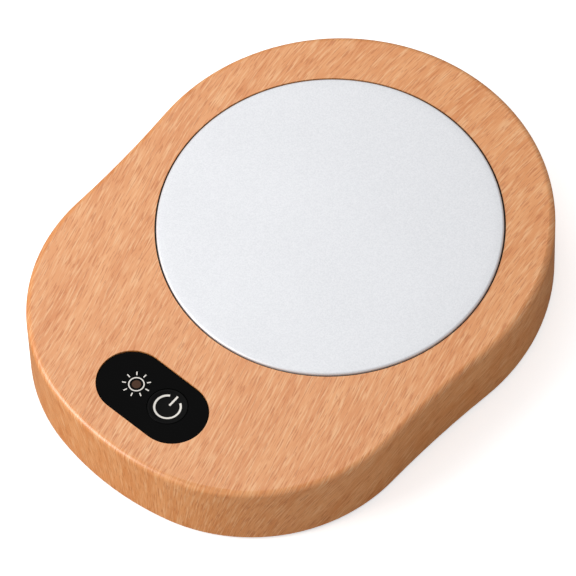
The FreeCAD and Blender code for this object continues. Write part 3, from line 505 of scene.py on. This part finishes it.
def lathe(
    name: str,
    profile: list[tuple[float, float]],
    centre: tuple[float, float],
    finish: bpy.types.Material,
    around: int = 192,
) -> bpy.types.Object:
    """Turns a profile about an upright axis.

    The surface is P(a, s) = (cx + r(s) cos a, cy + r(s) sin a, z(s)), for a from 0 to a full
    turn and s along the profile. A profile point on the axis closes the surface there.

    Args:
        name: The piece's name.
        profile: Radius and height pairs in millimetres.
        centre: The axis, in millimetres.
        finish: Its material.
        around: Steps in a full turn.

    Returns:
        The turned piece.
    """
    radius, height = np.array(profile, float).T
    turn = np.linspace(0.0, 2.0 * math.pi, around, endpoint=False)
    x = centre[0] + radius[None, :] * np.cos(turn)[:, None]
    y = centre[1] + radius[None, :] * np.sin(turn)[:, None]
    z = np.broadcast_to(height[None, :], x.shape)
    points = np.stack([x, y, z], axis=-1).reshape(-1, 3) * MM
    steps = len(profile)
    a, b = np.meshgrid(np.arange(around), np.arange(steps - 1), indexing="ij")
    following = (a + 1) % around
    faces = np.stack(
        [a * steps + b, following * steps + b, following * steps + b + 1, a * steps + b + 1],
        axis=-1,
    ).reshape(-1, 4)
    made = mesh_object(name, points, faces, finish)
    tidy_mesh(made)
    return made


def corner_arc(
    centre: tuple[float, float], radius: float, start: float, stop: float, steps: int = 8
) -> list[tuple[float, float]]:
    """Points of a rounded corner in a profile.

    Args:
        centre: The round's centre, in millimetres.
        radius: Its radius, in millimetres.
        start: First angle, in degrees.
        stop: Last angle, in degrees.
        steps: How many runs it has.

    Returns:
        Radius and height pairs.
    """
    turn = np.radians(np.linspace(start, stop, steps + 1))
    x = centre[0] + radius * np.cos(turn)
    y = centre[1] + radius * np.sin(turn)
    return list(zip(x.tolist(), y.tolist()))


def dressed_copy(
    frame: dict[str, Any], node: str, name: str, finish: bpy.types.Material
) -> bpy.types.Object:
    """Copies a node's mesh with the exact normals of its solid, then replaces the node.

    Args:
        frame: The loaded frame.
        node: The CAD node.
        name: The new piece's name.
        finish: Its material.

    Returns:
        The new piece.
    """
    mesh = frame["nodes"][node].data.copy()
    mesh.name = name
    mesh.materials.clear()
    mesh.materials.append(finish)
    made = bpy.data.objects.new(name, mesh)
    bpy.context.scene.collection.objects.link(made)
    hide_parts(node)
    return made


def settle(made: bpy.types.Object, body: Body) -> bpy.types.Object:
    """Lets a piece ride on a body and reports it.

    Args:
        made: The piece.
        body: The body that carries it.

    Returns:
        The same piece.
    """
    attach(made, body.value)
    LOG.info("%s rides on %s", made.name, body.value)
    return made


@dataclass
class Case:
    """The grain-finished shell, with the film's own coordinates laid over it."""

    top_mm: float = 22.8
    round_mm: float = 1.6
    half_length_mm: float = 73.0
    rear_radius_mm: float = 56.2
    rear_y_mm: float = 16.8
    corner_radius_mm: float = 47.5
    corner_x_mm: float = 7.3
    end_radius_mm: float = 79.0
    waist_radius_mm: float = 300.0
    skin_mm: float = 2.2
    finish: BeechFilm = field(default_factory=BeechFilm)

    def centres(self) -> list[tuple[np.ndarray, float, float]]:
        """Centres of the outline's arcs on the +X side: end, corner, waist and rear.

        Returns:
            Centre, radius and the sign that turns its direction outwards.
        """
        rear = np.array([0.0, self.rear_y_mm])
        end = np.array([0.0, self.end_radius_mm - self.half_length_mm])
        reach = self.end_radius_mm - self.corner_radius_mm
        corner = np.array([self.corner_x_mm, end[1] - math.sqrt(reach**2 - self.corner_x_mm**2)])
        span = corner - rear
        gap = float(np.hypot(*span))
        far_rear = self.rear_radius_mm + self.waist_radius_mm
        far_corner = self.corner_radius_mm + self.waist_radius_mm
        along = (far_rear**2 - far_corner**2 + gap**2) / (2.0 * gap)
        aside = math.sqrt(far_rear**2 - along**2)
        unit = span / gap
        waist = rear + unit * along + np.array([-unit[1], unit[0]]) * aside
        return [
            (end, self.end_radius_mm, 1.0),
            (corner, self.corner_radius_mm, 1.0),
            (waist, self.waist_radius_mm, -1.0),
            (rear, self.rear_radius_mm, 1.0),
        ]

    def outward(self, flat: np.ndarray) -> tuple[np.ndarray, np.ndarray]:
        """Outward direction of the outline and the distance inside it, for many points.

        Each point belongs to the arc whose sector holds it, as seen from that arc's centre;
        the direction runs from the centre through the point, turned round on the hollow waist.

        Args:
            flat: Plan positions in millimetres, one row each.

        Returns:
            Unit directions, and how far inside the upper outline each point lies.
        """
        arcs = self.centres()
        (end, _, _), (corner, _, _), (waist, _, _), (rear, _, _) = arcs
        side = np.where(flat[:, 0] < 0.0, -1.0, 1.0)
        folded = flat * np.stack([side, np.ones_like(side)], axis=1)

        def bearing(centre: np.ndarray) -> np.ndarray:
            """Bearing of each point from a centre."""
            delta = folded - centre
            return np.arctan2(delta[:, 1], delta[:, 0])

        def to(first: np.ndarray, second: np.ndarray) -> float:
            """Bearing of one centre from another."""
            return math.atan2(second[1] - first[1], second[0] - first[0])

        in_rear = bearing(rear) >= to(rear, waist)
        in_end = bearing(end) < to(end, corner)
        in_corner = (bearing(corner) <= to(corner, waist)) & ~in_end
        index = np.full(len(flat), 2)
        index[in_corner] = 1
        index[in_end & (folded[:, 1] < end[1])] = 0
        index[in_rear] = 3
        centre = np.array([arc[0] for arc in arcs])[index]
        radius = np.array([arc[1] for arc in arcs])[index]
        sign = np.array([arc[2] for arc in arcs])[index]
        delta = folded - centre
        distance = np.maximum(np.hypot(delta[:, 0], delta[:, 1]), 1e-6)
        direction = delta / distance[:, None] * sign[:, None]
        direction[:, 0] *= side
        return direction, (radius - distance) * sign

    def film_coordinates(self, points: np.ndarray) -> np.ndarray:
        """Unrolls the skin flat, so that the grain runs on over the edge and down the wall.

        On the top the coordinate is the plan position. Past the edge it goes on outwards by
        the length of the path walked over the round and down the wall.

        Args:
            points: Vertices in millimetres.

        Returns:
            Film coordinates in millimetres.
        """
        direction, inside = self.outward(points[:, :2])
        drop = self.top_mm - points[:, 2]
        tilt = np.arccos(np.clip(1.0 - drop / self.round_mm, -1.0, 1.0))
        tilt = np.minimum(tilt, math.pi / 2.0)
        over = self.round_mm * (tilt - np.sin(tilt))
        down = np.maximum(drop - self.round_mm, 0.0)
        skin = (inside < self.skin_mm) & (drop > 1e-3)
        walk = np.where(skin, over + down, 0.0)
        film = points.copy()
        film[:, :2] += direction * walk[:, None]
        film[:, 2] = 0.0
        return film

    def build(self, frame: dict[str, Any]) -> list[bpy.types.Object]:
        """Dresses the shell in its film.

        Args:
            frame: The loaded frame.

        Returns:
            The shell.
        """
        made = dressed_copy(frame, "top_case", "case_shell", self.finish.material())
        mesh = made.data
        flat = np.empty(len(mesh.vertices) * 3, np.float32)
        mesh.vertices.foreach_get("co", flat)
        film = self.film_coordinates(flat.reshape(-1, 3).astype(float) / MM)
        layer = mesh.attributes.new(FILM, "FLOAT_VECTOR", "POINT")
        layer.data.foreach_set("vector", film.astype(np.float32).ravel())
        return [settle(made, Body.HOUSING)]


@dataclass
class HeatingTop:
    """The round heating plate and the silicone ring that seals it."""

    centre_mm: tuple[float, float] = (0.0, 13.7)
    radius_mm: float = 45.0
    top_mm: float = 23.3
    rim_base_mm: float = 21.3
    spigot_mm: float = 42.2
    spigot_base_mm: float = 19.8
    edge_mm: float = 0.6
    opening_mm: float = 45.45
    ledge_mm: float = 42.8
    gasket_base_mm: float = 20.5
    lip_top_mm: float = 22.3

    def build(self) -> list[bpy.types.Object]:
        """Turns the plate and its gasket.

        Returns:
            The plate and the gasket.
        """
        edge = (self.radius_mm - self.edge_mm, self.top_mm - self.edge_mm)
        plate = lathe(
            "heating_plate_face",
            [(0.0, self.top_mm), (15.0, self.top_mm), (30.0, self.top_mm), (42.0, self.top_mm)]
            + list(reversed(corner_arc(edge, self.edge_mm, 0.0, 90.0)))
            + [(self.radius_mm, self.rim_base_mm), (self.spigot_mm, self.rim_base_mm)]
            + [(self.spigot_mm, self.spigot_base_mm), (0.0, self.spigot_base_mm)],
            self.centre_mm,
            BlastedAluminium().material(),
        )
        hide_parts("heating_plate")
        lip = self.radius_mm + 0.02
        gasket = lathe(
            "plate_seal",
            [(self.ledge_mm, self.gasket_base_mm), (self.ledge_mm, self.rim_base_mm)]
            + [(lip, self.rim_base_mm), (lip, self.lip_top_mm)]
            + [(self.opening_mm, self.lip_top_mm), (self.opening_mm, self.gasket_base_mm)]
            + [(self.ledge_mm, self.gasket_base_mm)],
            self.centre_mm,
            GASKET.material(),
        )
        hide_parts("plate_gasket")
        return [
            settle(plate, Body.HOUSING),
            settle(gasket, Body.HOUSING),
        ]


@dataclass
class ControlPanel:
    """The black oval panel, its dished button, the lamp's window and the printed symbols."""

    top_mm: float = 22.5
    button_mm: tuple[float, float] = (4.7, -54.2)
    button_radius_mm: float = 5.3
    flange_mm: float = 6.5
    flange_base_mm: float = 20.2
    flange_top_mm: float = 21.0
    stem_mm: float = 1.6
    stem_base_mm: float = 15.0
    dish_mm: float = 0.45
    dish_reach_mm: float = 4.8
    lamp_mm: tuple[float, float] = (-5.8, -54.5)
    ink_mm: float = 0.02
    ring_mm: float = 3.42
    ring_stroke_mm: float = 0.54
    gap_deg: float = 31.0
    bar_mm: tuple[float, float] = (0.73, 3.98)
    sun_ring_mm: float = 1.98
    sun_stroke_mm: float = 0.32
    ray_mm: tuple[float, float] = (2.75, 3.78)
    rays: int = 9

    def dish_drop(self, reach: np.ndarray) -> np.ndarray:
        """Depth of the dish at a distance from the button's middle.

        The dish is part of a ball: depth = dish - (ball - sqrt(ball squared - reach squared)).

        Args:
            reach: Distances in millimetres.

        Returns:
            Depths in millimetres, none below zero.
        """
        ball = (self.dish_reach_mm**2 + self.dish_mm**2) / (2.0 * self.dish_mm)
        rise = ball - np.sqrt(ball**2 - np.minimum(reach, self.dish_reach_mm) ** 2)
        return np.maximum(self.dish_mm - rise, 0.0)

    def ribbon(
        self, start: np.ndarray, stop: np.ndarray, dished: bool
    ) -> tuple[np.ndarray, np.ndarray]:
        """A thin closed strip of ink between two edge lines.

        The surface is the straight mix of the two lines, laid on the panel or in the dish,
        with a copy below it that the sides join.

        Args:
            start: One edge, points in millimetres from the symbol's middle.
            stop: The other edge, as many points.
            dished: Whether it lies in the button's dish.

        Returns:
            Vertices in millimetres from the symbol's middle, and faces.
        """
        mix = np.linspace(0.0, 1.0, 4)[None, :, None]
        sheet = start[:, None, :] * (1.0 - mix) + stop[:, None, :] * mix
        reach = np.hypot(sheet[..., 0], sheet[..., 1])
        low = self.top_mm - (self.dish_drop(reach) if dished else 0.0 * reach)
        rows, across = reach.shape
        layers = [
            np.concatenate([sheet, (low + lift)[..., None]], axis=-1)
            for lift in (-self.ink_mm, self.ink_mm)
        ]
        loop = np.concatenate([layers[1], layers[0][:, ::-1]], axis=1)
        count = 2 * across
        a, b = np.meshgrid(np.arange(rows - 1), np.arange(count), indexing="ij")
        right = (b + 1) % count
        sides = np.stack(
            [a * count + b, (a + 1) * count + b, (a + 1) * count + right, a * count + right],
            axis=-1,
        ).reshape(-1, 4)
        cap = np.arange(across - 1)
        first = np.stack([cap, cap + 1, count - 2 - cap, count - 1 - cap], axis=-1)
        last = first + (rows - 1) * count
        return loop.reshape(-1, 3), np.concatenate([sides, first, last[:, ::-1]])

    def arc_ribbon(
        self, radius: float, stroke: float, start: float, stop: float, dished: bool
    ) -> tuple[np.ndarray, np.ndarray]:
        """A ribbon along an arc.

        Args:
            radius: Its middle radius in millimetres.
            stroke: Its width in millimetres.
            start: First angle, in degrees round from +X.
            stop: Last angle, in degrees.
            dished: Whether it lies in the button's dish.

        Returns:
            Vertices in millimetres from the symbol's middle, and faces.
        """
        turn = np.radians(np.linspace(start, stop, 97))
        way = np.stack([np.cos(turn), np.sin(turn)], axis=1)
        return self.ribbon(way * (radius - stroke / 2), way * (radius + stroke / 2), dished)

    def line_ribbon(
        self, angle: float, reach: tuple[float, float], stroke: float, dished: bool
    ) -> tuple[np.ndarray, np.ndarray]:
        """A ribbon straight out from the middle.

        Args:
            angle: Its direction, in degrees round from +X.
            reach: Distances from the middle to its two ends, in millimetres.
            stroke: Its width in millimetres.
            dished: Whether it lies in the button's dish.

        Returns:
            Vertices in millimetres from the symbol's middle, and faces.
        """
        turn = math.radians(angle)
        way = np.array([math.cos(turn), math.sin(turn)])
        side = np.array([-way[1], way[0]]) * stroke / 2
        steps = np.linspace(reach[0], reach[1], 9)[:, None] * way
        return self.ribbon(steps - side, steps + side, dished)

    def printed(
        self,
        name: str,
        parts: list[tuple[np.ndarray, np.ndarray]],
        centre: tuple[float, float],
        finish: bpy.types.Material,
    ) -> bpy.types.Object:
        """Joins ribbons into one printed symbol.

        Args:
            name: The piece's name.
            parts: The ribbons.
            centre: The symbol's middle in millimetres.
            finish: The ink.

        Returns:
            The symbol.
        """
        starts = np.cumsum([0] + [len(points) for points, _ in parts[:-1]])
        points = np.concatenate([part[0] for part in parts])
        points[:, :2] += np.array(centre)
        faces = np.concatenate([part[1] + start for part, start in zip(parts, starts)])
        made = mesh_object(name, points * MM, faces, finish)
        tidy_mesh(made)
        return made

    def button(self, finish: bpy.types.Material) -> bpy.types.Object:
        """Turns the button's cap, flange and stem, with the finger dish in the cap.

        Args:
            finish: Its material.

        Returns:
            The button.
        """
        reach = np.linspace(0.0, self.dish_reach_mm, 25)
        dish = list(zip(reach.tolist(), (self.top_mm - self.dish_drop(reach)).tolist()))
        rim = (self.button_radius_mm - 0.2, self.top_mm - 0.2)
        profile = (
            dish
            + list(reversed(corner_arc(rim, 0.2, 0.0, 90.0, 5)))
            + [(self.button_radius_mm, self.flange_top_mm), (self.flange_mm, self.flange_top_mm)]
            + [(self.flange_mm, self.flange_base_mm), (self.stem_mm, self.flange_base_mm)]
            + [(self.stem_mm, self.stem_base_mm), (0.0, self.stem_base_mm)]
        )
        made = lathe("power_button_cap", profile, self.button_mm, finish, around=96)
        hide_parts("power_button")
        return made

    def build(self, frame: dict[str, Any]) -> list[bpy.types.Object]:
        """Builds the panel, the button and both symbols.

        Args:
            frame: The loaded frame.

        Returns:
            The pieces.
        """
        black, ink = GLOSS_BLACK.material(), PRINT_INK.material()
        panel = dressed_copy(frame, "control_panel", "panel_face", black)
        button = self.button(BUTTON_BLACK.material())
        low, high = 90.0 + self.gap_deg, 450.0 - self.gap_deg
        power = self.printed(
            "power_symbol",
            [
                self.arc_ribbon(self.ring_mm, self.ring_stroke_mm, low, high, True),
                self.line_ribbon(90.0, self.bar_mm, self.ring_stroke_mm, True),
            ],
            self.button_mm,
            ink,
        )
        spokes = [
            self.line_ribbon(90.0 + i * 360.0 / self.rays, self.ray_mm, self.sun_stroke_mm, False)
            for i in range(self.rays)
        ]
        ring = self.arc_ribbon(self.sun_ring_mm, self.sun_stroke_mm, 0.0, 360.0, False)
        sun = self.printed("sun_symbol", [ring] + spokes, self.lamp_mm, ink)
        return [
            settle(panel, Body.HOUSING),
            settle(button, Body.BUTTON),
            settle(power, Body.BUTTON),
            settle(sun, Body.HOUSING),
        ]


@dataclass
class Underside:
    """The flat cover, its four screws and the silicone feet."""

    foot_radius_mm: float = 6.0
    foot_thick_mm: float = 1.8
    foot_round_mm: float = 0.3

    def foot(self, node: str, finish: bpy.types.Material) -> bpy.types.Object:
        """Turns one foot with a shallow suction hollow in its face.

        Args:
            node: The CAD node that it replaces.
            finish: Its material.

        Returns:
            The foot.
        """
        low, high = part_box(node)
        middle = (low + high) / 2.0 / MM
        soft = (self.foot_radius_mm - self.foot_round_mm, self.foot_round_mm)
        profile = (
            [(0.0, 0.35), (2.6, 0.32), (3.4, 0.2), (4.0, 0.0)]
            + corner_arc(soft, self.foot_round_mm, -90.0, 0.0, 5)
            + [(self.foot_radius_mm, self.foot_thick_mm), (0.0, self.foot_thick_mm)]
        )
        made = lathe(f"{node}_pad", profile, (middle.x, middle.y), finish, around=64)
        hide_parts(node)
        return made

    def build(self, frame: dict[str, Any]) -> list[bpy.types.Object]:
        """Dresses the underside.

        Args:
            frame: The loaded frame.

        Returns:
            The pieces.
        """
        cover = dressed_copy(frame, "base_cover", "cover_face", COVER.material())
        screws = dressed_copy(frame, "cover_screws", "cover_screw_set", ZINC.material())
        made = [
            settle(cover, Body.HOUSING),
            settle(screws, Body.HOUSING),
        ]
        rubber = FOOT.material()
        for node in sorted(n for n in frame["nodes"] if n.startswith("foot_")):
            made.append(settle(self.foot(node, rubber), Body.HOUSING))
        return made


@dataclass
class Internals:
    """Everything that the case hides, and the socket at the rear: finishes on the CAD nodes."""

    finishes: dict[str, PlainFinish] = field(
        default_factory=lambda: {
            "heater_element": FOIL,
            "insulation_pad": FELT,
            "clamp_plate": SHEET,
            "clamp_screws": ZINC,
            "thermistor": CERAMIC,
            "thermal_fuse": CAN,
            "panel_adhesive": TAPE,
            "indicator_lens": LENS,
            "control_board": BOARD,
            "supply_board": BOARD,
            "board_screws": ZINC,
            "supply_board_screws": ZINC,
            "switch_case": EPOXY,
            "switch_plunger": EPOXY,
            "switch_dome": SHEET,
            "switch_legs": TIN,
            "indicator_lamp": NYLON,
            "controller_chip": EPOXY,
            "power_transistor": EPOXY,
            "filter_capacitor": CAN,
            "board_resistors": EPOXY,
            "heater_connector": NYLON,
            "sensor_connector": NYLON,
            "supply_connector": NYLON,
            "socket_shell": ZINC,
            "socket_tongue": EPOXY,
            "socket_contacts": GOLD,
            "heater_leads": INSULATION,
            "sensor_leads": INSULATION,
            "supply_leads": INSULATION,
        }
    )

    def build(self, frame: dict[str, Any]) -> None:
        """Puts each finish on its nodes.

        Args:
            frame: The loaded frame.
        """
        made: dict[str, bpy.types.Material] = {}
        for node, finish in self.finishes.items():
            if finish.name not in made:
                made[finish.name] = finish.material()
            material = made[finish.name]
            slots = frame["nodes"][node].data.materials
            slots.clear()
            slots.append(material)
            LOG.info("%s is %s", node, finish.name)


def grey(level: float) -> tuple[float, float, float, float]:
    """A neutral colour.

    Args:
        level: Its linear level, from 0 to 1.

    Returns:
        Red, green, blue and an alpha of 1.
    """
    return (level, level, level, 1.0)


@dataclass(frozen=True)
class SoftBox:
    """A square lamp that faces the object: place and side in metres, power in watts."""

    name: str
    place_m: tuple[float, float, float]
    side_m: float
    power_w: float

    def build(self) -> None:
        """Hangs the lamp."""
        data = bpy.data.lights.new(self.name, "AREA")
        data.size, data.energy = self.side_m, self.power_w
        made = bpy.data.objects.new(self.name, data)
        facing = Vector(self.place_m).to_track_quat("Z", "Y").to_matrix().to_4x4()
        made.matrix_world = Matrix.Translation(self.place_m) @ facing
        bpy.context.scene.collection.objects.link(made)


# A large lamp from the front left, which lights the front wall.
KEY_BOX = SoftBox("key_box", (-0.6, -0.8, 0.6), 0.7, 9.9)
# A small lamp near the mirror direction, which lays the sheen on the front of the top.
SHEEN_BOX = SoftBox("sheen_box", (-0.16, 0.06, 0.34), 0.25, 0.26)


@dataclass
class Studio:
    """The camera at the photograph's angle, soft lamps and a white floor."""

    back: tuple[float, float, float] = (0.36576, -0.37824, 0.85038)
    right: tuple[float, float, float] = (0.74349, 0.66837, -0.02250)
    up: tuple[float, float, float] = (-0.55986, 0.64048, 0.52568)
    aim_mm: tuple[float, float] = (-2.249, 4.93)
    pixels_per_mm: float = 3.858
    frame_pixels: float = 576.0
    sensor_mm: float = 36.0
    distance_m: float = 5.0
    room_light: float = 0.52
    floor_half_m: float = 4.0
    floor_drop_mm: float = 0.05
    floor_bounce: float = 0.8
    floor_mirrored: float = 0.12
    floor_seen: float = 0.9
    floor_glow: float = 0.55

    def camera(self) -> None:
        """Places a long lens along the viewing direction, aimed at the photograph's middle."""
        data = bpy.data.cameras.new("studio_camera")
        view_mm = self.frame_pixels / self.pixels_per_mm
        data.sensor_width = self.sensor_mm
        data.lens = self.sensor_mm * self.distance_m / (view_mm * MM)
        data.clip_start, data.clip_end = 0.5, 50.0
        axes = Matrix([self.right, self.up, self.back]).transposed()
        aim = Vector(self.right) * self.aim_mm[0] + Vector(self.up) * self.aim_mm[1]
        place = aim * MM + Vector(self.back) * self.distance_m
        made = bpy.data.objects.new("studio_camera", data)
        made.matrix_world = Matrix.Translation(place) @ axes.to_4x4()
        bpy.context.scene.collection.objects.link(made)
        bpy.context.scene.camera = made

    def world(self) -> None:
        """Fills the room with plain light, and shows white to the camera and through clear pieces."""
        made = bpy.data.worlds.new("studio_room")
        made.use_nodes = True
        tree = made.node_tree
        tree.nodes.clear()
        path = add_node(tree, "LightPath")
        shown = add_node(
            tree,
            "Math",
            {0: path.outputs["Is Camera Ray"], 1: path.outputs["Is Transmission Ray"]},
            operation="MAXIMUM",
        ).outputs[0]
        level = add_node(
            tree, "MapRange", {"Value": shown, "To Min": self.room_light, "To Max": 1.0}
        ).outputs[0]
        room = add_node(tree, "Background", {"Color": grey(1.0), "Strength": level})
        add_node(tree, "OutputWorld", {"Surface": room.outputs[0]})
        bpy.context.scene.world = made

    def floor(self) -> None:
        """Lays a pale floor, white to the camera, that keeps the shadow; clear from below."""
        mesh = bpy.data.meshes.new("studio_floor")
        half = self.floor_half_m
        low = -self.floor_drop_mm * MM
        corners = [(-half, -half, low), (half, -half, low), (half, half, low), (-half, half, low)]
        mesh.from_pydata(corners, [], [(0, 1, 2, 3)])
        made = bpy.data.objects.new("studio_floor", mesh)
        bpy.context.scene.collection.objects.link(made)
        material, tree = new_material("white_paper_floor")
        path = add_node(tree, "LightPath")
        seen = path.outputs["Is Camera Ray"]
        mirrored = add_node(
            tree,
            "Mix",
            {
                0: path.outputs["Is Glossy Ray"],
                6: grey(self.floor_bounce),
                7: grey(self.floor_mirrored),
            },
            data_type="RGBA",
        ).outputs[2]
        paper = add_node(
            tree, "Mix", {0: seen, 6: mirrored, 7: grey(self.floor_seen)}, data_type="RGBA"
        ).outputs[2]
        lift = add_node(tree, "Math", {0: seen, 1: self.floor_glow}, operation="MULTIPLY").outputs[0]
        below = add_node(tree, "NewGeometry").outputs["Backfacing"]
        solid = add_node(
            tree, "Math", {0: 1.0, 1: below}, operation="SUBTRACT", use_clamp=True
        ).outputs[0]
        finish_surface(
            tree,
            {
                "Base Color": paper,
                "Roughness": 0.9,
                "Specular IOR Level": 0.0,
                "Emission Color": grey(1.0),
                "Emission Strength": lift,
                "Alpha": solid,
            },
        )
        mesh.materials.append(material)

    def build(self) -> None:
        """Sets up the studio."""
        bpy.context.scene.view_settings.view_transform = "Standard"
        self.camera()
        self.floor()
        self.world()
        KEY_BOX.build()
        SHEEN_BOX.build()


def main() -> None:
    """Builds the studio and the warmer around the frame."""
    logging.basicConfig(level=logging.INFO, format="%(name)s: %(message)s")
    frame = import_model()
    Studio().build()
    Case().build(frame)
    HeatingTop().build()
    ControlPanel().build(frame)
    Underside().build(frame)
    Internals().build(frame)


if __name__ == "__main__":
    main()
